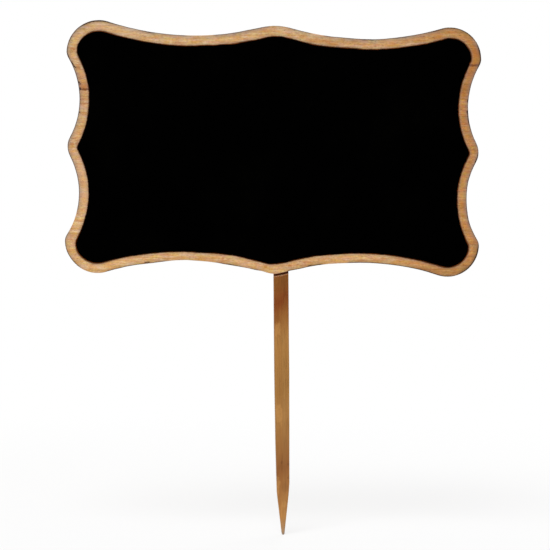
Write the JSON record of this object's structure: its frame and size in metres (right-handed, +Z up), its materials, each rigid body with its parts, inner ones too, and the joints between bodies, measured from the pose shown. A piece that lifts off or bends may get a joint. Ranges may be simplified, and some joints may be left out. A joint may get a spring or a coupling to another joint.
{
  "type": "chalkboard stake",
  "caption": "Small scalloped wooden chalkboard sign with a painted black panel, glued to a pointed bamboo stake.",
  "frame": {"origin": "the stake's tip, at the middle of its thickness", "axes": "+Z up along the board's own vertical, +X to the right seen from the front, the writing panel faces -Y"},
  "size_m": [0.1002, 0.0057, 0.1241],
  "materials": {
    "birch_veneer": "bare, lightly stained, horizontal grain, charred at its cut edge",
    "core_veneer": "bare, crosswise grain, charred at its cut edge",
    "bond_resin": "dark cured resin line",
    "chalkboard_paint": "dead matte black chalkboard paint",
    "bamboo": "brown bamboo with fine lengthwise fibres",
    "hot_glue": "cloudy amber hot-melt glue"
  },
  "bodies": {
    "root": {"face_veneer": "birch_veneer", "front_bond_line": "bond_resin", "core_veneer": "core_veneer", "back_bond_line": "bond_resin", "back_veneer": "birch_veneer", "chalkboard_coat": "chalkboard_paint", "stake": "bamboo", "hot_glue": "hot_glue"}
  },
  "joints": []
}
